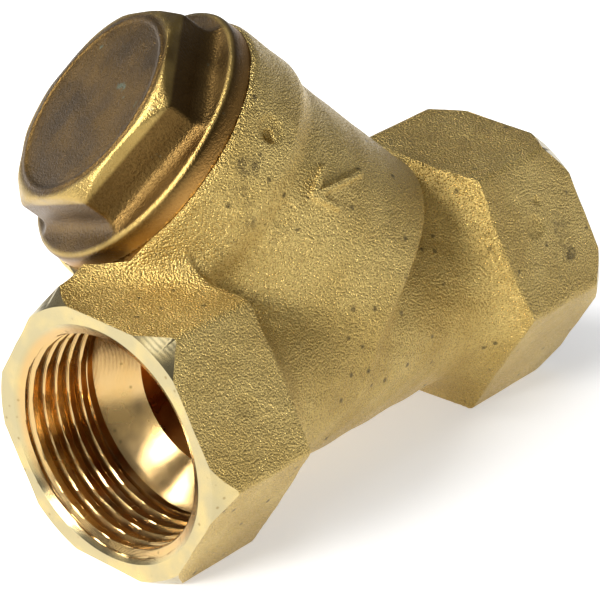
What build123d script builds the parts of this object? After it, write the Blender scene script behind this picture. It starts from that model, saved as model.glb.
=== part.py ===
from build123d import *
import math
import os

# Brass Y strainer, G 3/4 (DN 20). Millimetres. Water enters at the inlet face, x = 0, and leaves at +X.
# The strainer rests on a pair of hexagon flats, so Z is up, and the branch leans BRANCH_TILT from the
# vertical toward -Y. Every part is built with the branch upright and the middle of the run at the
# origin. Stations along the run count from there, and stations along the branch count from the point
# where its axis crosses the run axis. to_rest then carries the part to its resting place.

# Body, run
HEX_AF = 30.0
HEX_CORNER_R = HEX_AF / math.sqrt(3)
HALF_RUN = 33.5
FACE_R = 15.7
BEVEL_DEPTH = 2.8
INLET_HEX = 14.8
OUTLET_HEX = 13.6
BARREL_R = 11.8
SHOULDER_R = 5.6

# Body, branch
BRANCH_ANGLE = 51.5
BRANCH_TILT = 30.0
BRANCH_X = -9.6
NECK_FOOT = 6.4
NECK_R = 15.4
NECK_TOP = 24.4
COLLAR_FOOT = 27.6
COLLAR_R = 16.35
MOUTH = 34.5
MOUTH_LIP_R = 15.86
MOUTH_ROUND = 1.6

# Port threads, G 3/4
PORT_PITCH = 1.814
PORT_MINOR_R = 12.32
PORT_MAJOR_R = 13.22
COUNTERSINK_R = 13.72
COUNTERSINK_DEPTH = 0.9
THREAD_END = 9.9
RELIEF_ENTRY = 0.5
RELIEF_END = 11.2
RELIEF_R = 12.9
STEP_END = 11.9
STEP_R = 12.4
CONE_END = 14.9
WATERWAY_R = 9.1
CREST_FLAT = 0.74
ROOT_FLAT = 0.14
OVERCUT = 0.16
COIL_START = 37.0

# Strainer chamber
SEAT = 5.5
CHAMBER_FLOOR = 9.0
SEAT_R = 9.75
CHAMBER_R = 12.1

# Cap thread, M26 x 1.5. The ridge on the cap is cut; the mouth is bored to clear its crests.
CAP_PITCH = 1.5
CAP_MAJOR_R = 12.96
CAP_ROOT_R = 12.05
CAP_RIDGE_FOOT_W = 1.3
CAP_RIDGE_CREST_W = 0.2
CAP_TIP = 26.2
CAP_RIDGE_FOOT = 27.2
CAP_RIDGE_TOP = 32.0
MOUTH_BORE_R = 13.05
MOUTH_BORE_FOOT = 25.0
GASKET_SEAT = 33.0
SPOT_FACE_R = 17.0
SPOT_FACE_H = 8.0

# Cap
FLANGE_R = 15.86
FLANGE_TOP = 37.1
CAP_AF = 24.0
CAP_CORNER_R = CAP_AF / math.sqrt(3)
CAP_HEX_SHOULDER = 41.5
CAP_TOP = 43.1
CAP_TOP_R = 11.75
CAP_TURN = 17.4
CAP_COVE = 1.3
FLANGE_ROUND = 0.5
SKIRT_BEVEL = 0.9
RECESS_R = 9.8
RECESS_TOP = 39.4

# Gasket
GASKET_INNER_R = 13.2
GASKET_OUTER_R = 15.1
GASKET_RECESS_R = 15.25
GASKET_T = 1.46

# Screen, perforated sheet rolled into a tube
SCREEN_R = 9.6
SCREEN_T = 0.5
SCREEN_TOP = 39.0
HOLE_D = 1.5
HOLES_ROUND = 24
HOLE_ROWS = 11
HOLE_ROW_GAP = 2.3
HOLE_FIRST = 11.6


def profile_face(points):
    """Face in the XZ plane bounded by straight lines through the points."""
    return make_face(Polyline(*[(x, 0, z) for x, z in points], close=True))


def run_solid(points):
    """Solid of revolution about X from (station, radius) points."""
    return revolve(profile_face(points), axis=Axis.X, revolution_arc=360)


def branch_solid(points):
    """Solid of revolution about Z from (station, radius) points, built upright."""
    return revolve(profile_face([(r, s) for s, r in points]), axis=Axis.Z, revolution_arc=360)


def to_branch(shape):
    """Carry a shape built upright on Z to the branch."""
    leaned = Rot(0, 90 - BRANCH_ANGLE, 0) * shape
    return Pos(BRANCH_X, 0, 0) * leaned


def to_rest(shape):
    """Turn the strainer from branch-upright to lying on its flats, inlet face at x = 0."""
    return Pos(HALF_RUN, 0, 0) * (Rot(BRANCH_TILT, 0, 0) * shape)


def thread_coil(pitch, near_r, near_w, far_r, far_w, foot, top):
    """Coil about Z whose section is a trapezoid between two radii."""
    path = Helix(pitch=pitch, height=top - foot, radius=(near_r + far_r) / 2)
    section = make_face(Polyline(
        (near_r, 0, -near_w / 2),
        (far_r, 0, -far_w / 2),
        (far_r, 0, far_w / 2),
        (near_r, 0, near_w / 2),
        close=True,
    ))
    return Pos(0, 0, foot) * (Rot(0, 0, COIL_START) * sweep(section, path=path, is_frenet=True))


def run_outline():
    """Stations and radii of the run, with the cove between each hexagon and the barrel."""
    big = HEX_CORNER_R + 0.6
    slope = (HEX_CORNER_R - FACE_R) / BEVEL_DEPTH
    bevel_end = (big - FACE_R) / slope
    inlet_end = -HALF_RUN + INLET_HEX
    outlet_end = HALF_RUN - OUTLET_HEX
    cove_r = BARREL_R + SHOULDER_R
    arc_in = ThreePointArc(
        (inlet_end, 0, cove_r),
        (inlet_end + SHOULDER_R * (1 - math.sqrt(0.5)), 0, cove_r - SHOULDER_R * math.sqrt(0.5)),
        (inlet_end + SHOULDER_R, 0, BARREL_R),
    )
    arc_out = ThreePointArc(
        (outlet_end - SHOULDER_R, 0, BARREL_R),
        (outlet_end - SHOULDER_R * (1 - math.sqrt(0.5)), 0, cove_r - SHOULDER_R * math.sqrt(0.5)),
        (outlet_end, 0, cove_r),
    )
    rim_in = Polyline(
        (-HALF_RUN, 0, 0),
        (-HALF_RUN, 0, FACE_R),
        (-HALF_RUN + bevel_end, 0, big),
        (inlet_end, 0, big),
        (inlet_end, 0, cove_r),
    )
    rim_out = Polyline(
        (outlet_end, 0, cove_r),
        (outlet_end, 0, big),
        (HALF_RUN - bevel_end, 0, big),
        (HALF_RUN, 0, FACE_R),
        (HALF_RUN, 0, 0),
    )
    barrel = Line((inlet_end + SHOULDER_R, 0, BARREL_R), (outlet_end - SHOULDER_R, 0, BARREL_R))
    axis = Line((HALF_RUN, 0, 0), (-HALF_RUN, 0, 0))
    return make_face([rim_in, arc_in, barrel, arc_out, rim_out, axis])


def run_outside():
    """Two hexagon ends joined by the round barrel, a hexagon corner up in the branch plane."""
    turned = revolve(run_outline(), axis=Axis.X, revolution_arc=360)
    hexagon = RegularPolygon(HEX_CORNER_R, 6)
    bar = extrude(Plane.YZ.offset(-HALF_RUN) * (Rot(0, 0, 90) * hexagon), 2 * HALF_RUN)
    return turned & bar


def branch_outside():
    """Round neck that widens to the mouth collar."""
    points = [
        (NECK_FOOT, 0),
        (NECK_FOOT, NECK_R),
        (NECK_TOP, NECK_R),
        (COLLAR_FOOT, COLLAR_R),
        (MOUTH - MOUTH_ROUND, COLLAR_R),
        (MOUTH, MOUTH_LIP_R),
        (MOUTH, 0),
    ]
    return to_branch(branch_solid(points))


def port_bore():
    """Countersunk thread core, relief and drill cone of one port, mouth at x = HALF_RUN."""
    points = [
        (HALF_RUN + 1, 0),
        (HALF_RUN + 1, COUNTERSINK_R),
        (HALF_RUN, COUNTERSINK_R),
        (HALF_RUN - COUNTERSINK_DEPTH, PORT_MINOR_R),
        (HALF_RUN - THREAD_END, PORT_MINOR_R),
        (HALF_RUN - THREAD_END, RELIEF_R),
        (HALF_RUN - RELIEF_END, RELIEF_R),
        (HALF_RUN - STEP_END, STEP_R),
        (HALF_RUN - CONE_END, WATERWAY_R),
        (HALF_RUN - CONE_END, 0),
    ]
    return run_solid(points)


def port_thread():
    """Helical groove of one port, from its relief to its countersink."""
    groove_w = PORT_PITCH - CREST_FLAT + OVERCUT
    start = HALF_RUN - THREAD_END - RELIEF_ENTRY
    end = HALF_RUN - COUNTERSINK_DEPTH - groove_w / 2
    coil = thread_coil(
        PORT_PITCH, PORT_MINOR_R - OVERCUT, groove_w, PORT_MAJOR_R, ROOT_FLAT, 0, end - start,
    )
    return Pos(start, 0, 0) * (Rot(0, 90, 0) * coil)


def half_space(station, above):
    """Large block on one side of a plane square to the branch axis."""
    size = 200
    shift = size / 2 if above else -size / 2
    return to_branch(Pos(0, 0, station + shift) * Box(size, size, size))


def waterways():
    """Inlet passage up to the seat plane, and outlet passage from the chamber floor plane."""
    reach = HALF_RUN - CONE_END + 1
    tube = Rot(0, 90, 0) * Cylinder(WATERWAY_R, 2 * reach)
    return tube & half_space(SEAT, False), tube & half_space(CHAMBER_FLOOR, True)


def chamber():
    """Seat, strainer chamber, thread bore, gasket recess and the spot face round the mouth."""
    points = [
        (SEAT, 0),
        (SEAT, SEAT_R),
        (CHAMBER_FLOOR, SEAT_R),
        (CHAMBER_FLOOR, CHAMBER_R),
        (MOUTH_BORE_FOOT, CHAMBER_R),
        (MOUTH_BORE_FOOT, MOUTH_BORE_R),
        (GASKET_SEAT, MOUTH_BORE_R),
        (GASKET_SEAT, GASKET_RECESS_R),
        (MOUTH, GASKET_RECESS_R),
        (MOUTH, SPOT_FACE_R),
        (MOUTH + SPOT_FACE_H, SPOT_FACE_R),
        (MOUTH + SPOT_FACE_H, 0),
    ]
    return to_branch(branch_solid(points))


def body():
    """Forged body with its machined passages and port threads."""
    blank = run_outside() + branch_outside()
    inlet_way, outlet_way = waterways()
    bore = port_bore()
    blank = blank - chamber() - inlet_way - outlet_way - bore - Rot(0, 0, 180) * bore
    thread = port_thread()
    return blank - thread - Rot(0, 0, 180) * thread


def cap_head():
    """Flange and bevelled hexagon of the cap, built upright."""
    flange = branch_solid([
        (MOUTH, 0),
        (MOUTH, FLANGE_R),
        (FLANGE_TOP - FLANGE_ROUND, FLANGE_R),
        (FLANGE_TOP, FLANGE_R - FLANGE_ROUND),
        (FLANGE_TOP, 0),
    ])
    hexagon = Rot(0, 0, CAP_TURN) * RegularPolygon(CAP_CORNER_R, 6)
    prism = extrude(Plane.XY.offset(MOUTH) * hexagon, CAP_TOP - MOUTH)
    bevel = branch_solid([
        (MOUTH, 0),
        (MOUTH, CAP_CORNER_R + 1),
        (CAP_HEX_SHOULDER - 1, CAP_CORNER_R + 1),
        (CAP_HEX_SHOULDER, CAP_CORNER_R),
        (CAP_TOP, CAP_TOP_R),
        (CAP_TOP, 0),
    ])
    head = flange + (prism & bevel)
    foot = head.edges().filter_by_position(Axis.Z, FLANGE_TOP - 0.01, FLANGE_TOP + 0.01)
    foot = foot.filter_by(GeomType.LINE)
    return fillet(foot, CAP_COVE)


def cap():
    """Cap with its threaded skirt and the recess that holds the screen, built upright."""
    skirt = branch_solid([
        (CAP_TIP, 0),
        (CAP_TIP, CAP_ROOT_R - SKIRT_BEVEL),
        (CAP_TIP + SKIRT_BEVEL, CAP_ROOT_R),
        (MOUTH, CAP_ROOT_R),
        (MOUTH, 0),
    ])
    ridge = thread_coil(
        CAP_PITCH, CAP_ROOT_R - OVERCUT, CAP_RIDGE_FOOT_W, CAP_MAJOR_R, CAP_RIDGE_CREST_W,
        CAP_RIDGE_FOOT, CAP_RIDGE_TOP,
    )
    recess = branch_solid([
        (CAP_TIP - 1, 0),
        (CAP_TIP - 1, RECESS_R),
        (RECESS_TOP, RECESS_R),
        (RECESS_TOP, 0),
    ])
    return cap_head() + (skirt + ridge) - recess


def gasket():
    """Flat ring in the recess of the mouth."""
    return branch_solid([
        (GASKET_SEAT, GASKET_INNER_R),
        (GASKET_SEAT, GASKET_OUTER_R),
        (GASKET_SEAT + GASKET_T, GASKET_OUTER_R),
        (GASKET_SEAT + GASKET_T, GASKET_INNER_R),
    ])


def screen():
    """Rolled perforated tube, its holes in staggered rows."""
    wall = branch_solid([
        (SEAT, SCREEN_R - SCREEN_T),
        (SEAT, SCREEN_R),
        (SCREEN_TOP, SCREEN_R),
        (SCREEN_TOP, SCREEN_R - SCREEN_T),
    ])
    drill = Rot(0, 90, 0) * Cylinder(HOLE_D / 2, 2 * SCREEN_T)
    drills = []
    step = 360 / HOLES_ROUND
    for row in range(HOLE_ROWS):
        height = HOLE_FIRST + row * HOLE_ROW_GAP
        for n in range(HOLES_ROUND):
            turn = (n + (row % 2) / 2) * step
            drills.append(Rot(0, 0, turn) * (Pos(SCREEN_R - SCREEN_T / 2, 0, height) * drill))
    return wall - drills


def write(name, shape):
    """Write one node in the rest frame."""
    export_step(to_rest(shape), "parts/" + name + ".step")


os.makedirs("parts", exist_ok=True)
write("body", body())
write("cap", to_branch(cap()))
write("gasket", to_branch(gasket()))
write("screen", to_branch(screen()))
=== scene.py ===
import math

import bmesh
import bpy
import numpy as np
from mathutils import Matrix, Vector


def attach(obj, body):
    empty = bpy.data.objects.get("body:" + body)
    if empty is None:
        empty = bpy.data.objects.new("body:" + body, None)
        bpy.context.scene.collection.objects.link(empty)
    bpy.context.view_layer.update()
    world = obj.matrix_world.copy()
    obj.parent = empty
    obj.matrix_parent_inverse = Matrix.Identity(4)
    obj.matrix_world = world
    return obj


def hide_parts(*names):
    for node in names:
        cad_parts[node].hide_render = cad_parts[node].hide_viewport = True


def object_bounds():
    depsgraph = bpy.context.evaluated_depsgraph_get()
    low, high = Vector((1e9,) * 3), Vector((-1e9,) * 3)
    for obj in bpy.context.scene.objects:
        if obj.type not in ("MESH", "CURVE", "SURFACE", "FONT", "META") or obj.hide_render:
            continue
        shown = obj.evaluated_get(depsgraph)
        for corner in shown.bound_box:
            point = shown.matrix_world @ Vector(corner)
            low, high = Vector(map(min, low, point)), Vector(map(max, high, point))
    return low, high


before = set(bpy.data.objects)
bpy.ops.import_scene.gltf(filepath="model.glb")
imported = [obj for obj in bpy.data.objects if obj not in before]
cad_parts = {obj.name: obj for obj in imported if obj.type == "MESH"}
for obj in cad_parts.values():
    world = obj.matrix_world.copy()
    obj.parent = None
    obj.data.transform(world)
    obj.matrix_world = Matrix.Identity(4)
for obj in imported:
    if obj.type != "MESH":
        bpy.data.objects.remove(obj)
cad_low, cad_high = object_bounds()

# Driving dimensions, in millimetres: those of the CAD model, but for a slightly wider face and
# a deeper cove on the cap. The pieces are made with the branch upright and the middle of the run
# at the origin, then carried to the resting place.
MM = 0.001
HALF_RUN = 33.5
HEX_FLAT = 15.0
FACE_R = 15.7
BEVEL_SLOPE = 0.58
INLET_HEX = 14.8
OUTLET_HEX = 13.6
BARREL_R = 11.8
COVE_R = 5.6
BRANCH_X = -9.6
BRANCH_ANGLE = math.radians(51.5)
BRANCH_TILT = math.radians(30.0)
NECK_FOOT = 6.4
NECK_R = 15.4
NECK_TOP = 24.4
COLLAR_FOOT = 27.6
COLLAR_R = 16.35
MOUTH = 34.5
SPOT_FACE_R = 17.0

PORT_PITCH = 1.814
PORT_MINOR_R = 12.32
PORT_MAJOR_R = 13.22
CREST_SHARE = 0.45
ROOT_SHARE = 0.06
COUNTERSINK_R = 13.72
COUNTERSINK_DEPTH = 0.9
THREAD_END = 9.9
RELIEF_END = 11.2
RELIEF_R = 12.9
STEP_END = 11.9
STEP_R = 12.4
CONE_END = 14.9
WATERWAY_R = 9.1
PORT_TOOL_R = 22.0
THREAD_STATION = 0.09
THREAD_RUNOUT = 0.3
TOOL_CLEAR = 12.0
WAY_OVERLAP = 0.5
BLOCK_R = 90.0
BLOCK_REACH = 60.0

SEAT = 5.5
SEAT_R = 9.75
CHAMBER_FLOOR = 9.0
CHAMBER_R = 12.1
MOUTH_BORE_FOOT = 25.0
MOUTH_BORE_R = 13.05
GASKET_SEAT = 33.0
GASKET_RECESS_R = 15.25
MOUTH_CLEAR = 8.0

FLANGE_R = 15.86
FLANGE_TOP = 37.1
CAP_FLAT = 12.0
CAP_BEVEL_R = 12.0
CAP_RING_R = 10.9
CAP_TURN = math.radians(17.4)
CAP_TOP = 43.1
RECESS_R = 9.8
RECESS_TOP = 39.4
CAP_TIP = 26.2
CAP_ROOT_R = 12.05
CAP_MAJOR_R = 12.96
CAP_PITCH = 1.5
CAP_RIDGE_FOOT = 27.2
CAP_RIDGE_TOP = 32.0
CAP_BEVEL_SLOPE = 0.84
CAP_COVE = 1.9
RING_HEIGHT = 0.14
SKIRT_BEVEL = 0.9
RIDGE_RUNOUT = 0.6
CAP_CREST_SHARE = 0.16
CAP_ROOT_SHARE = 0.14

ARROW_TAIL = (-1.8, 15.6)
ARROW_TIP = (6.2, 15.6)
ARROW_BARBS = ((3.6, 17.9), (3.6, 13.3))
ARROW_HALF_WIDTH = 0.62
ARROW_HEIGHT = 0.55
MARK_EDGE = 0.35
FLASH_HEIGHT = 0.14
FLASH_WIDTH = 0.45
FLASH_FOOT = -13.0

# Punch marks and the pit on the forging: centre, radius and depth.
MARKS = [
    ((9.2, 16.2, 24.0), 1.7, 0.22),
    ((9.6, 16.2, 23.5), 0.85, 0.75),
    ((10.0, 14.3, 15.0), 1.5, 0.16),
    ((25.6, 15.0, -1.0), 1.5, 0.10),
    ((-24.6, 15.0, 1.0), 1.5, 0.18),
    ((-26.5, 15.0, 3.6), 0.6, 0.25),
]

FORGED_ROUND = 0.5
WEB_FILLET = 3.0
WEB_STRIP_FILLET = 5.2

# Mesh making. WAY_STEP keeps the waterways off the faces of the port and chamber tools.
TURNS_ROUND = 240
BODY_MARGIN = 1.6
BODY_REACH = 18.0
BODY_HEIGHT = 38.6
CAP_MARGIN = 1.2
GRID = 0.33
CAP_GRID = 0.24
WAY_STEP = 0.04
WELD = 0.003
SHARP_ANGLE = math.radians(32)

# The stage, in metres from the middle of the part.
CAMERA_BACK = (0.6638, 0.5855, 0.4653)
CAMERA_AIM = (0.00095, 0.0047, -0.00749)
CAMERA_DISTANCE = 0.3116
LENS = 165.8
SENSOR_WIDTH = 36.0
FLOOR_REACH = 3.0
FLOOR_WHITE = 0.9
FLOOR_GLOW = 0.46
WORLD_GLOW = 0.21
LIGHTS = (
    ("key", (0.45, -0.5, 0.6), 0.4, 9.5),
    ("front", (0.84, 0.0, 0.42), 0.3, 8.5),
    ("top", (0.2, 0.1, 0.87), 0.3, 0.6),
)


# Fields: negative inside, in millimetres.

def smooth_max(a, b, k):
    """Greater of two fields, with a round of about k where they meet."""
    h = np.maximum(k - np.abs(a - b), 0.0) / k
    return np.maximum(a, b) + h * h * k / 4


def smooth_min(a, b, k):
    """Lesser of two fields, with a fillet of about k where they meet."""
    return -smooth_max(-a, -b, k)


def hexagon_field(p, q, flat, first, k):
    """Hexagon in the plane (p, q); first is the direction its first flat faces."""
    field = np.abs(p * math.cos(first) + q * math.sin(first)) - flat
    for n in (1, 2):
        a = first + n * math.pi / 3
        field = smooth_max(field, np.abs(p * math.cos(a) + q * math.sin(a)) - flat, k)
    return field


def branch_coordinates(x, y, z):
    """Station along the branch, and the two cross coordinates."""
    c, s = math.cos(BRANCH_ANGLE), math.sin(BRANCH_ANGLE)
    along = (x - BRANCH_X) * c + z * s
    up = -(x - BRANCH_X) * s + z * c
    return along, up, y


def run_field(x, y, z):
    """Two hexagon ends joined by the barrel, with a cove at each hexagon."""
    r = np.sqrt(y * y + z * z)
    bar = hexagon_field(y, z, HEX_FLAT, 0.0, FORGED_ROUND)
    depth = np.minimum(x + HALF_RUN - INLET_HEX, HALF_RUN - OUTLET_HEX - x)
    reach = np.clip(COVE_R - depth, 0.0, COVE_R)
    waist = BARREL_R + COVE_R - np.sqrt(COVE_R ** 2 - reach ** 2)
    waist = np.where(depth < 0.0, waist - 4.0 * depth, waist)
    turned = (r - waist) * 0.6
    ends = np.abs(x) - HALF_RUN - 1.0
    return np.maximum(smooth_max(bar, turned, FORGED_ROUND), ends)


def branch_field(x, y, z):
    """Neck, collar and the rounded mouth of the branch."""
    along, up, side = branch_coordinates(x, y, z)
    r = np.sqrt(up * up + side * side)
    grow = np.clip((along - NECK_TOP) / (COLLAR_FOOT - NECK_TOP), 0.0, 1.0)
    grow = grow * grow * (3.0 - 2.0 * grow)
    wall = r - NECK_R - (COLLAR_R - NECK_R) * grow
    foot = NECK_FOOT - along
    top = along - MOUTH - 0.3
    return smooth_max(smooth_max(wall, foot, FORGED_ROUND * 1.6), top, 1.2)


def dimple(x, y, z, centre, radius, depth):
    """Depth of a shallow round punch mark, zero outside it."""
    d = np.sqrt((x - centre[0]) ** 2 + (z - centre[2]) ** 2)
    near = np.abs(y - centre[1]) < 3.0
    edge = np.clip((radius - d) / MARK_EDGE, 0.0, 1.0)
    return depth * edge * edge * (3.0 - 2.0 * edge) * near


def segment_distance(p, q, a, b):
    """Distance in the plane (p, q) from a straight stroke."""
    dp, dq = b[0] - a[0], b[1] - a[1]
    t = np.clip(((p - a[0]) * dp + (q - a[1]) * dq) / (dp * dp + dq * dq), 0.0, 1.0)
    return np.sqrt((p - a[0] - t * dp) ** 2 + (q - a[1] - t * dq) ** 2)


def flow_arrow(x, y, z):
    """Height of the raised flow arrow on the side of the neck."""
    strokes = [(ARROW_TAIL, ARROW_TIP)] + [(ARROW_TIP, barb) for barb in ARROW_BARBS]
    d = np.min([segment_distance(x, z, a, b) for a, b in strokes], axis=0)
    edge = np.clip((ARROW_HALF_WIDTH - d) / 0.4, 0.0, 1.0)
    return ARROW_HEIGHT * edge * edge * (3.0 - 2.0 * edge) * (y > 5.0)


def body_field(x, y, z):
    """The forging before it is machined, with its parting line and a slight unevenness."""
    in_hexagon = np.clip((x - HALF_RUN + OUTLET_HEX + 0.2) / 0.6, 0.0, 1.0)
    fillet = WEB_FILLET + (WEB_STRIP_FILLET - WEB_FILLET) * in_hexagon
    field = smooth_min(run_field(x, y, z), branch_field(x, y, z), fillet)
    for centre, radius, depth in MARKS:
        field = field + dimple(x, y, z, centre, radius, depth)
    field = field - flow_arrow(x, y, z)
    flash = FLASH_HEIGHT * np.exp(-(y / FLASH_WIDTH) ** 2) * (z > FLASH_FOOT)
    wander = 0.04 * (1.0 + np.sin(x * 0.9 + 1.3 * np.sin(z * 0.7)) * np.sin(z * 1.1 + y * 0.8))
    return field - flash + wander


def cap_skirt(x, y, z, r):
    """Threaded skirt below the flange."""
    turn = z / CAP_PITCH - np.arctan2(y, x) / (2 * math.pi)
    swell = np.clip((z - CAP_RIDGE_FOOT) / RIDGE_RUNOUT, 0.0, 1.0)
    swell = swell * np.clip((CAP_RIDGE_TOP - z) / RIDGE_RUNOUT, 0.0, 1.0)
    profile = 1.0 - thread_shape(turn, CAP_CREST_SHARE, CAP_ROOT_SHARE)
    ridge = (CAP_MAJOR_R - CAP_ROOT_R) * profile * swell
    lead = np.clip(CAP_TIP + SKIRT_BEVEL - z, 0.0, SKIRT_BEVEL)
    wall = (r - CAP_ROOT_R - ridge + lead) * 0.7
    return np.maximum(np.maximum(wall, CAP_TIP - z), z - MOUTH - 1.0)


def cap_field(x, y, z):
    """The whole cap, with its recess for the screen; z is the station along the branch."""
    r = np.sqrt(x * x + y * y)
    prism = hexagon_field(x, y, CAP_FLAT, CAP_TURN + math.pi / 6, 0.35)
    ring = RING_HEIGHT * np.exp(-((r - CAP_RING_R) / 0.3) ** 2)
    dome = z - CAP_TOP + 0.16 - ring
    bevel = (z - CAP_TOP + (r - CAP_BEVEL_R) * CAP_BEVEL_SLOPE) * 0.77
    top = smooth_max(dome, bevel, 0.35)
    head = smooth_max(prism, top, 0.4)
    flange = smooth_max(r - FLANGE_R, z - FLANGE_TOP, 0.7)
    field = smooth_min(head, flange, CAP_COVE)
    wander = 0.02 * (1.0 + np.sin(x * 1.1 + np.sin(z * 0.9)) * np.sin(y * 0.8 + 0.7))
    skirt = cap_skirt(x, y, z, r)
    solid = np.minimum(np.maximum(field + wander, MOUTH - z), skirt)
    recess = np.maximum(r - RECESS_R, z - RECESS_TOP)
    return np.maximum(solid, -recess)


# Meshes from fields.

def gradient(field, p, eps=0.03):
    """Numerical gradient of a field at points."""
    g = np.empty_like(p)
    for k in range(3):
        step = np.zeros(3)
        step[k] = eps
        a, b = p + step, p - step
        g[:, k] = (field(*a.T) - field(*b.T)) / (2 * eps)
    return g


def settle(field, p, rounds=4):
    """Move points onto the surface of a field."""
    for _ in range(rounds):
        g = gradient(field, p)
        size = np.maximum((g * g).sum(1), 0.05)
        p = p - g * np.clip(field(*p.T) / size, -0.4, 0.4)[:, None]
    return p


def untangle(value):
    """Fill the grid squares whose corners alternate, which would give an edge four faces."""
    tangled = True
    while tangled:
        tangled = False
        for k in range(3):
            v = np.moveaxis(value, k, 0)
            corners = (v[:, :-1, :-1], v[:, 1:, :-1], v[:, 1:, 1:], v[:, :-1, 1:])
            a, b, c, d = (corner < 0 for corner in corners)
            twist = (a == c) & (b == d) & (a != b)
            for corner in corners:
                corner[twist & (corner >= 0)] = -0.001
            tangled = tangled or bool(twist.any())


def field_mesh(name, field, low, high, step):
    """Quad mesh of a field's surface on a regular grid."""
    axes = [np.arange(a, b + step, step) for a, b in zip(low, high)]
    grid = np.meshgrid(*axes, indexing="ij")
    value = field(*grid)
    untangle(value)
    shape = np.array(value.shape)
    cells = shape - 1
    total = np.zeros((int(cells.prod()), 3))
    count = np.zeros(int(cells.prod()))
    quads = []
    strides = np.array([cells[1] * cells[2], cells[2], 1])
    for k in range(3):
        lead = [slice(None)] * 3
        tail = [slice(None)] * 3
        lead[k], tail[k] = slice(None, -1), slice(1, None)
        a, b = value[tuple(lead)], value[tuple(tail)]
        cross = (a < 0) != (b < 0)
        ijk = np.argwhere(cross)
        u, v = (k + 1) % 3, (k + 2) % 3
        keep = (ijk[:, u] > 0) & (ijk[:, v] > 0)
        keep &= (ijk[:, u] < cells[u]) & (ijk[:, v] < cells[v])
        ijk = ijk[keep]
        av, bv = a[tuple(ijk.T)], b[tuple(ijk.T)]
        place = ijk.astype(float)
        place[:, k] += av / (av - bv)
        corners = []
        for du, dv in ((-1, -1), (0, -1), (0, 0), (-1, 0)):
            cell = ijk.copy()
            cell[:, u] += du
            cell[:, v] += dv
            flat = cell @ strides
            corners.append(flat)
            count += np.bincount(flat, minlength=len(count))
            for m in range(3):
                total[:, m] += np.bincount(flat, weights=place[:, m], minlength=len(count))
        quad = np.stack(corners, axis=1)
        quads.append(np.where((av < 0)[:, None], quad, quad[:, ::-1]))
    used = np.nonzero(count)[0]
    index = np.full(len(count), -1)
    index[used] = np.arange(len(used))
    points = total[used] / count[used][:, None] * step + np.array(low)
    points = settle(field, points)
    return mesh_from(name, points, index[np.concatenate(quads)])


def mesh_from(name, points, quads):
    """Mesh from arrays of points and quads."""
    mesh = bpy.data.meshes.new(name)
    mesh.vertices.add(len(points))
    mesh.vertices.foreach_set("co", np.asarray(points, float).ravel())
    mesh.loops.add(4 * len(quads))
    mesh.loops.foreach_set("vertex_index", np.asarray(quads, int).ravel())
    mesh.polygons.add(len(quads))
    mesh.polygons.foreach_set("loop_start", np.arange(0, 4 * len(quads), 4))
    mesh.update(calc_edges=True)
    mesh.validate()
    return mesh


def thread_shape(turn, crest, root):
    """0 at a crest and 1 at a root of a thread, by the part of a turn."""
    t = np.abs((turn % 1.0) - 0.5) * 2.0
    return 1.0 - np.clip((t - root) / (1.0 - root - crest), 0.0, 1.0)


def turned_mesh(name, outline, radius_at=None):
    """Closed solid of revolution about X from (station, radius) points, both ends on the axis."""
    x = np.array([p[0] for p in outline[1:-1]])
    r = np.array([p[1] for p in outline[1:-1]])
    a = np.linspace(0.0, 2 * math.pi, TURNS_ROUND, endpoint=False)
    rr = np.repeat(r[:, None], TURNS_ROUND, axis=1)
    xx = np.repeat(x[:, None], TURNS_ROUND, axis=1)
    aa = np.repeat(a[None, :], len(x), axis=0)
    if radius_at is not None:
        rr = radius_at(xx, aa, rr)
    ring = np.stack([xx, rr * np.cos(aa), rr * np.sin(aa)], axis=2).reshape(-1, 3)
    ends = np.array([[outline[0][0], 0, 0], [outline[-1][0], 0, 0]])
    n = len(x)
    j = np.arange(TURNS_ROUND)
    nxt = (j + 1) % TURNS_ROUND
    faces = []
    for i in range(n - 1):
        lower, upper = i * TURNS_ROUND, (i + 1) * TURNS_ROUND
        faces.extend(np.stack([lower + j, lower + nxt, upper + nxt, upper + j], axis=1).tolist())
    first, last = n * TURNS_ROUND, n * TURNS_ROUND + 1
    faces.extend(np.stack([nxt, j, np.full(TURNS_ROUND, first)], axis=1).tolist())
    top = (n - 1) * TURNS_ROUND
    faces.extend(np.stack([top + j, top + nxt, np.full(TURNS_ROUND, last)], axis=1).tolist())
    mesh = bpy.data.meshes.new(name)
    mesh.from_pydata(np.concatenate([ring, ends]).tolist(), [], faces)
    mesh.validate()
    return mesh


def object_of(mesh):
    """Object holding a mesh, in the scene."""
    made = bpy.data.objects.new(mesh.name, mesh)
    bpy.context.scene.collection.objects.link(made)
    return made


def outward(obj):
    """Turn the faces of a closed mesh outward."""
    bpy.ops.object.select_all(action="DESELECT")
    obj.select_set(True)
    bpy.context.view_layer.objects.active = obj
    bpy.ops.object.mode_set(mode="EDIT")
    bpy.ops.mesh.select_all(action="SELECT")
    bpy.ops.mesh.normals_make_consistent(inside=False)
    bpy.ops.object.mode_set(mode="OBJECT")


def cut(target, tool):
    """Take a tool away from a target and drop the tool."""
    outward(tool)
    mod = target.modifiers.new("cut", "BOOLEAN")
    mod.operation = "DIFFERENCE"
    mod.solver = "EXACT"
    mod.material_mode = "TRANSFER"
    mod.object = tool
    bpy.context.view_layer.objects.active = target
    bpy.ops.object.modifier_apply(modifier=mod.name)
    bpy.data.objects.remove(tool)


def weld(obj):
    """Join the points that cutting left doubled."""
    shape = bmesh.new()
    shape.from_mesh(obj.data)
    bmesh.ops.remove_doubles(shape, verts=shape.verts, dist=WELD)
    shape.to_mesh(obj.data)
    shape.free()


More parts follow.
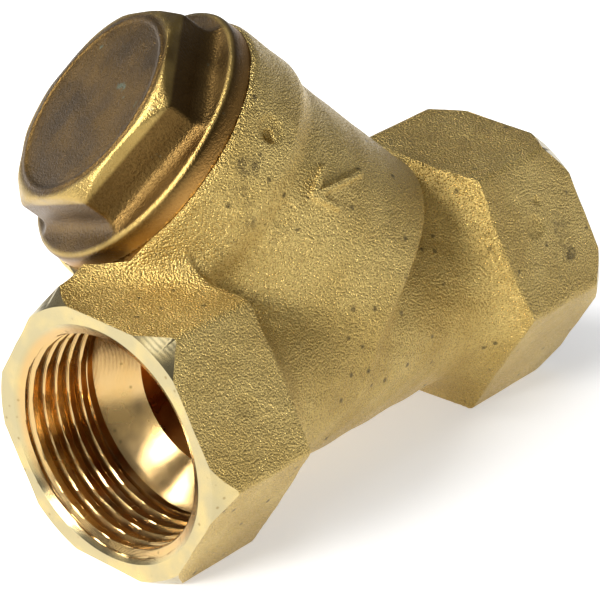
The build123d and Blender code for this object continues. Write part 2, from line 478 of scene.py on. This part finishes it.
def port_tool():
    """All the turning of one port: outer bevel, face, countersink, thread, relief and cone."""
    outer_x = HALF_RUN - (PORT_TOOL_R - FACE_R) / BEVEL_SLOPE
    thread_x = np.arange(HALF_RUN - 0.05, HALF_RUN - THREAD_END, -THREAD_STATION)
    outline = [
        (HALF_RUN + TOOL_CLEAR, 0),
        (HALF_RUN + TOOL_CLEAR, PORT_TOOL_R),
        (outer_x, PORT_TOOL_R),
        (HALF_RUN, FACE_R),
        (HALF_RUN, COUNTERSINK_R),
    ]
    outline += [(x, PORT_MINOR_R) for x in thread_x]
    outline += [
        (HALF_RUN - THREAD_END, RELIEF_R),
        (HALF_RUN - RELIEF_END, RELIEF_R),
        (HALF_RUN - STEP_END, STEP_R),
        (HALF_RUN - CONE_END, WATERWAY_R),
        (HALF_RUN - CONE_END, 0),
    ]

    def radius_at(x, a, r):
        depth = HALF_RUN - x
        turn = x / PORT_PITCH - a / (2 * math.pi)
        cutting = np.clip((THREAD_END - depth) / THREAD_RUNOUT, 0.0, 1.0)
        shape = thread_shape(turn, CREST_SHARE, ROOT_SHARE)
        thread = PORT_MINOR_R + (PORT_MAJOR_R - PORT_MINOR_R) * shape * cutting
        sink = COUNTERSINK_R - (COUNTERSINK_R - PORT_MINOR_R) * depth / COUNTERSINK_DEPTH
        bored = np.maximum(thread, sink)
        in_thread = (depth > 0.01) & (depth < THREAD_END) & (r == PORT_MINOR_R)
        return np.where(in_thread, bored, r)

    return turned_mesh("port_tool", outline, radius_at)


def to_branch(obj):
    """Carry an object made along X from the run to the branch axis."""
    c, s = math.cos(BRANCH_ANGLE), math.sin(BRANCH_ANGLE)
    obj.data.transform(Matrix(((c, 0, -s, BRANCH_X), (0, 1, 0, 0), (s, 0, c, 0), (0, 0, 0, 1))))
    return obj


def raise_to_branch(obj):
    """Carry an object made along Z to the branch axis."""
    c, s = math.cos(BRANCH_ANGLE), math.sin(BRANCH_ANGLE)
    obj.data.transform(Matrix(((s, 0, c, BRANCH_X), (0, 1, 0, 0), (-c, 0, s, 0), (0, 0, 0, 1))))
    return obj


def branch_tool():
    """Seat, chamber, thread bore, gasket recess, mouth and spot face, made along X."""
    outline = [
        (SEAT, 0),
        (SEAT, SEAT_R),
        (CHAMBER_FLOOR, SEAT_R),
        (CHAMBER_FLOOR, CHAMBER_R),
        (MOUTH_BORE_FOOT, CHAMBER_R),
        (MOUTH_BORE_FOOT, MOUTH_BORE_R),
        (GASKET_SEAT, MOUTH_BORE_R),
        (GASKET_SEAT, GASKET_RECESS_R),
        (MOUTH, GASKET_RECESS_R),
        (MOUTH, SPOT_FACE_R),
        (MOUTH + MOUTH_CLEAR, SPOT_FACE_R),
        (MOUTH + MOUTH_CLEAR, 0),
    ]
    return turned_mesh("branch_tool", outline)


def passage(station, above, material):
    """Waterway along X up to a slanted plane square to the branch axis."""
    reach = HALF_RUN - CONE_END + WAY_OVERLAP
    radius = WATERWAY_R - WAY_STEP
    tube = object_of(turned_mesh("passage", [
        (-reach, 0), (-reach, radius), (reach, radius), (reach, 0),
    ]))
    tube.data.materials.append(material)
    shift = -BLOCK_REACH if above else BLOCK_REACH
    block = object_of(turned_mesh("block", [
        (station + shift, 0), (station + shift, BLOCK_R), (station, BLOCK_R), (station, 0),
    ]))
    to_branch(block)
    outward(tube)
    block.data.materials.append(material)
    cut(tube, block)
    return tube


def rest_place():
    """From the making place, in millimetres, to the row frame, in metres."""
    shift = Matrix.Translation((HALF_RUN * MM, 0, 0))
    return shift @ Matrix.Rotation(BRANCH_TILT, 4, "X") @ Matrix.Scale(MM, 4)


def branch_place(station):
    """Place of a station of the branch axis, in the row frame."""
    c, s = math.cos(BRANCH_ANGLE), math.sin(BRANCH_ANGLE)
    return rest_place() @ Vector((BRANCH_X + station * c, 0.0, station * s))


def finish_piece(obj, body, slot_name, *nodes):
    """Place a piece, shade it and let it stand for its CAD nodes."""
    obj.data.transform(rest_place())
    obj.data.shade_smooth()
    obj.data.set_sharp_from_angle(angle=SHARP_ANGLE)
    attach(obj, body)
    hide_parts(*nodes)
    return obj


def body_skin():
    """The forging, then its ports, chamber and waterways cut with machined faces."""
    low = (-HALF_RUN - BODY_MARGIN, -BODY_REACH, -BODY_REACH)
    high = (HALF_RUN + BODY_MARGIN, BODY_REACH, BODY_HEIGHT)
    skin = object_of(field_mesh("body_skin", body_field, low, high, GRID))
    skin.data.materials.append(forged_brass())
    turned = machined_brass()
    near = object_of(port_tool())
    near.data.materials.append(turned)
    far = object_of(near.data.copy())
    far.data.transform(Matrix.Rotation(math.pi, 4, "Z"))
    chamber = to_branch(object_of(branch_tool()))
    chamber.data.materials.append(turned)
    cast = cavity_brass()
    inlet_way = passage(SEAT + WAY_STEP, False, cast)
    outlet_way = passage(CHAMBER_FLOOR + WAY_STEP, True, cast)
    for tool in (near, far, chamber, inlet_way, outlet_way):
        cut(skin, tool)
    weld(skin)
    return finish_piece(skin, "body", "forged_brass", "body")


def cap_skin():
    """The cap, made upright from its field and carried to the branch."""
    reach = FLANGE_R + CAP_MARGIN
    low = (-reach, -reach, CAP_TIP - 1.0)
    high = (reach, reach, CAP_TOP + 1.0)
    head = object_of(field_mesh("cap_skin", cap_field, low, high, CAP_GRID))
    head.data.materials.append(cap_brass())
    raise_to_branch(head)
    return finish_piece(head, "cap", "cap_brass", "cap")


# Materials: one node tree each, coloured by where the surface is on the part.

class Finish:
    """Material under construction, with its shader and the nodes that feed it."""

    def __init__(self, name, metallic=1.0, roughness=0.4):
        self.material = bpy.data.materials.new(name)
        self.material.use_nodes = True
        self.tree = self.material.node_tree
        self.shader = self.tree.nodes["Principled BSDF"]
        self.shader.inputs["Metallic"].default_value = metallic
        self.shader.inputs["Roughness"].default_value = roughness
        self.place = self.tree.nodes.new("ShaderNodeTexCoord").outputs["Object"]

    def node(self, kind, **settings):
        """New node with its settings."""
        made = self.tree.nodes.new(kind)
        for key, value in settings.items():
            setattr(made, key, value)
        return made

    def feed(self, made, *values):
        """Link or set the first inputs of a node."""
        for socket, value in zip(made.inputs, values):
            if hasattr(value, "is_output"):
                self.tree.links.new(value, socket)
            elif value is not None:
                socket.default_value = value
        return made.outputs[0]

    def math(self, operation, *values):
        """Result of a math node."""
        return self.feed(self.node("ShaderNodeMath", operation=operation), *values)

    def remap(self, value, low, high, out_low=0.0, out_high=1.0):
        """Value carried smoothly from one range to another and clamped."""
        made = self.node("ShaderNodeMapRange", interpolation_type="SMOOTHSTEP")
        return self.feed(made, value, low, high, out_low, out_high)

    def noise(self, per_metre, detail=3.0, rough=0.5, stretch=None):
        """Noise by place, about per_metre waves a metre."""
        made = self.node("ShaderNodeTexNoise")
        place = self.place
        if stretch is not None:
            scale = self.node("ShaderNodeVectorMath", operation="MULTIPLY")
            place = self.feed(scale, place, stretch)
        self.tree.links.new(place, made.inputs["Vector"])
        made.inputs["Scale"].default_value = per_metre
        made.inputs["Detail"].default_value = detail
        made.inputs["Roughness"].default_value = rough
        return made.outputs["Fac"]

    def cells(self, per_metre):
        """Distance to the nearest of scattered points."""
        made = self.node("ShaderNodeTexVoronoi", feature="F1")
        self.tree.links.new(self.place, made.inputs["Vector"])
        made.inputs["Scale"].default_value = per_metre
        return made.outputs["Distance"]

    def from_axis(self, origin, axis):
        """Station along an axis and distance from it, in metres."""
        offset = self.feed(self.node("ShaderNodeVectorMath", operation="SUBTRACT"), self.place, origin)
        dot = self.node("ShaderNodeVectorMath", operation="DOT_PRODUCT")
        self.feed(dot, offset, axis)
        size = self.node("ShaderNodeVectorMath", operation="LENGTH")
        self.feed(size, offset)
        along, far = dot.outputs["Value"], size.outputs["Value"]
        square = self.math("SUBTRACT", self.math("MULTIPLY", far, far), self.math("MULTIPLY", along, along))
        return along, self.math("SQRT", self.math("MAXIMUM", square, 0.0))

    def mix(self, share, a, b):
        """Colour between two colours."""
        made = self.node("ShaderNodeMix", data_type="RGBA")
        for name, value in (("Factor", share), ("A", a), ("B", b)):
            socket = next(s for s in made.inputs if s.name == name and s.enabled)
            if hasattr(value, "is_output"):
                self.tree.links.new(value, socket)
            else:
                socket.default_value = value
        return next(s for s in made.outputs if s.enabled)

    def colour(self, value):
        self.tree.links.new(value, self.shader.inputs["Base Color"])

    def roughness(self, value):
        self.tree.links.new(value, self.shader.inputs["Roughness"])

    def bump(self, *layers):
        """Relief from (height, depth in metres) layers, one over the other."""
        normal = None
        for height, depth in layers:
            made = self.node("ShaderNodeBump")
            made.inputs["Distance"].default_value = depth
            self.tree.links.new(height, made.inputs["Height"])
            if normal is not None:
                self.tree.links.new(normal, made.inputs["Normal"])
            normal = made.outputs["Normal"]
        self.tree.links.new(normal, self.shader.inputs["Normal"])


def rgba(r, g, b):
    return (r, g, b, 1.0)


BRASS_LIGHT = rgba(0.70, 0.52, 0.185)
BRASS_MID = rgba(0.58, 0.41, 0.13)
BRASS_DARK = rgba(0.20, 0.13, 0.036)
BRASS_TURNED = rgba(0.41, 0.345, 0.19)
# The orange below is painted warm reflected light, in the bores and under the cap's flange.
WARM_BOUNCE = rgba(0.62, 0.33, 0.09)
TARNISH = rgba(0.05, 0.035, 0.02)
PATINA = rgba(0.165, 0.098, 0.03)
PATINA_DARK = rgba(0.085, 0.048, 0.014)
VERDIGRIS = rgba(0.15, 0.20, 0.15)


def forged_brass():
    """Blasted forging: a fine glittering grain, with darker grains, small pits and stains."""
    f = Finish("forged_brass")
    grain = f.noise(7500.0, 2.0, 0.7)
    fleck = f.cells(4300.0)
    cloud = f.noise(110.0, 3.0, 0.5)
    stain = f.noise(70.0, 6.0, 0.7)
    pit = f.remap(f.cells(330.0), 0.05, 0.14, 1.0, 0.0)
    tone = f.mix(f.remap(cloud, 0.34, 0.66), BRASS_MID, BRASS_LIGHT)
    tone = f.mix(f.remap(grain, 0.34, 0.56, 0.6, 0.0), tone, BRASS_DARK)
    tone = f.mix(f.remap(stain, 0.60, 0.70, 0.0, 0.75), tone, TARNISH)
    tone = f.mix(f.math("MULTIPLY", pit, 0.7), tone, TARNISH)
    f.colour(tone)
    f.roughness(f.remap(fleck, 0.2, 0.8, 0.22, 0.46))
    f.bump((fleck, 0.00017), (grain, 0.00008))
    return f.material


def machined_brass():
    """Turned brass: fine rings about the run axis, small pits, and orange painted deeper in the bore and
    thread as a painted warm reflection.
    """
    f = Finish("machined_brass")
    along, far = f.from_axis((0.0, 0.0, 0.0), (1.0, 0.0, 0.0))
    marks = f.math("MULTIPLY", f.math("ADD", along, far), 30000.0)
    ring = f.math("SINE", f.math("ADD", marks, f.math("MULTIPLY", f.noise(240.0, 2.0), 9.0)))
    cloud = f.noise(240.0, 3.0, 0.5)
    pit = f.remap(f.cells(620.0), 0.05, 0.16, 1.0, 0.0)
    # Orange by distance from the run axis, deeper in the bore and thread: a painted warm reflection of the
    # bore's own walls.
    warm_reflection = f.remap(far, 0.0137, 0.0129, 0.0, 1.0)
    tone = f.mix(f.remap(cloud, 0.4, 0.75, 0.0, 0.5), BRASS_TURNED, BRASS_LIGHT)
    tone = f.mix(f.math("MULTIPLY", warm_reflection, 0.45), tone, WARM_BOUNCE)
    tone = f.mix(f.math("MULTIPLY", pit, 0.6), tone, BRASS_DARK)
    f.colour(tone)
    f.roughness(f.remap(cloud, 0.3, 0.7, 0.15, 0.28))
    f.bump((ring, 0.000002), (cloud, 0.00003))
    return f.material


def cavity_brass():
    """Drilled and cast way through the body, stained red-brown."""
    f = Finish("cavity_brass")
    cloud = f.noise(180.0, 4.0, 0.6)
    f.colour(f.mix(f.remap(cloud, 0.35, 0.65), rgba(0.40, 0.16, 0.04), rgba(0.58, 0.29, 0.08)))
    f.roughness(f.remap(cloud, 0.3, 0.7, 0.22, 0.4))
    f.bump((cloud, 0.00008))
    return f.material


def cap_brass():
    """Cap brown with age, worn to bare brass on its edges with a painted highlight there, painted warm
    bounce light under its flange, and green in a few low places.
    """
    f = Finish("cap_brass")
    grain = f.noise(3600.0, 2.0, 0.7)
    cloud = f.noise(150.0, 4.0, 0.55)
    green = f.noise(260.0, 4.0, 0.6)
    along, far = f.from_axis(branch_place(0.0), branch_place(1000.0) - branch_place(0.0))
    # Worn edges with a painted highlight on them, and painted warm bounce light on the flange's underside,
    # by distance from the axis and station, in metres.
    on_bevel = f.math("MULTIPLY", f.remap(far, 0.0113, 0.0120), f.remap(along, 0.0412, 0.0418))
    on_rim = f.math("MULTIPLY", f.remap(far, 0.0150, 0.0156), f.remap(along, 0.0366, 0.0371))
    edge = f.math("MULTIPLY", f.math("MAXIMUM", on_bevel, on_rim), f.remap(cloud, 0.25, 0.5, 0.2, 0.6))
    under = f.math("MULTIPLY", f.remap(far, 0.0152, 0.0157), f.remap(along, 0.0368, 0.0350))
    tone = f.mix(f.remap(cloud, 0.3, 0.7, 0.35, 1.0), PATINA_DARK, PATINA)
    tone = f.mix(f.remap(grain, 0.36, 0.58, 0.6, 0.0), tone, PATINA_DARK)
    # Orange on the lower side of the flange: painted warm bounce light in the flange's shade.
    tone = f.mix(f.math("MULTIPLY", under, 0.5), tone, WARM_BOUNCE)
    # Bare brass on the worn bevel and rim edges, brightened further as a painted highlight.
    tone = f.mix(edge, tone, BRASS_MID)
    tone = f.mix(f.remap(green, 0.66, 0.72, 0.0, 0.7), tone, VERDIGRIS)
    f.colour(tone)
    f.roughness(f.remap(cloud, 0.3, 0.7, 0.30, 0.44))
    f.bump((grain, 0.00009))
    return f.material


def screen_steel():
    """Drawn stainless sheet."""
    f = Finish("screen_steel", roughness=0.3)
    streak = f.noise(700.0, 4.0, 0.6, stretch=(1.0, 1.0, 8.0))
    f.colour(f.mix(f.remap(streak, 0.3, 0.7), rgba(0.42, 0.40, 0.37), rgba(0.62, 0.61, 0.58)))
    f.roughness(f.remap(streak, 0.3, 0.7, 0.25, 0.4))
    f.bump((streak, 0.00003))
    return f.material


def gasket_fibre():
    """Pale pressed fibre."""
    f = Finish("gasket_fibre", metallic=0.0, roughness=0.85)
    speck = f.noise(2600.0, 3.0, 0.6)
    f.colour(f.mix(f.remap(speck, 0.35, 0.65), rgba(0.46, 0.42, 0.34), rgba(0.66, 0.62, 0.52)))
    f.bump((speck, 0.00005))
    return f.material


def finish_node(name, material):
    """Give a carried-over CAD node its material."""
    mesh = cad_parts[name].data
    mesh.materials.clear()
    mesh.materials.append(material)


# Stage: pale floor, white surroundings, soft lights, and the camera.

def camera():
    """Camera on the outlet side, above the run and to its right."""
    centre = (cad_low + cad_high) / 2
    back = Vector(CAMERA_BACK).normalized()
    aim = centre + Vector(CAMERA_AIM)
    data = bpy.data.cameras.new("camera")
    data.lens = LENS
    data.sensor_width = SENSOR_WIDTH
    data.clip_start = 0.01
    data.clip_end = 10.0
    made = bpy.data.objects.new("camera", data)
    made.rotation_mode = "QUATERNION"
    made.location = aim + back * CAMERA_DISTANCE
    made.rotation_quaternion = (-back).to_track_quat("-Z", "Y")
    bpy.context.scene.collection.objects.link(made)
    bpy.context.scene.camera = made


def area_light(name, place, size, power):
    """Soft light at a place, in metres from the middle of the part, aimed at it."""
    centre = (cad_low + cad_high) / 2
    data = bpy.data.lights.new(name, "AREA")
    data.shape = "DISK"
    data.size = size
    data.energy = power
    made = bpy.data.objects.new(name, data)
    made.location = centre + Vector(place)
    made.rotation_mode = "QUATERNION"
    made.rotation_quaternion = (-Vector(place)).to_track_quat("-Z", "Y")
    bpy.context.scene.collection.objects.link(made)


def surroundings():
    """Even white studio."""
    world = bpy.data.worlds.new("studio")
    world.use_nodes = True
    back = world.node_tree.nodes["Background"]
    back.inputs["Color"].default_value = rgba(1.0, 1.0, 1.0)
    back.inputs["Strength"].default_value = WORLD_GLOW
    bpy.context.scene.world = world


def floor():
    """Plain pale floor under the part, glowing a little so that it stays pale away from the lights."""
    reach = FLOOR_REACH
    z = cad_low.z
    mesh = bpy.data.meshes.new("floor")
    corners = [(-reach, -reach, z), (reach, -reach, z), (reach, reach, z), (-reach, reach, z)]
    mesh.from_pydata(corners, [], [(0, 1, 2, 3)])
    f = Finish("floor", metallic=0.0, roughness=0.9)
    f.shader.inputs["Base Color"].default_value = rgba(FLOOR_WHITE, FLOOR_WHITE, FLOOR_WHITE)
    f.shader.inputs["Emission Color"].default_value = rgba(1.0, 1.0, 1.0)
    f.shader.inputs["Emission Strength"].default_value = FLOOR_GLOW
    mesh.materials.append(f.material)
    object_of(mesh)


camera()
surroundings()
floor()
for light in LIGHTS:
    area_light(*light)
bpy.context.scene.view_settings.view_transform = "Standard"
body_skin()
cap_skin()
finish_node("screen", screen_steel())
finish_node("gasket", gasket_fibre())
bpy.context.view_layer.update()
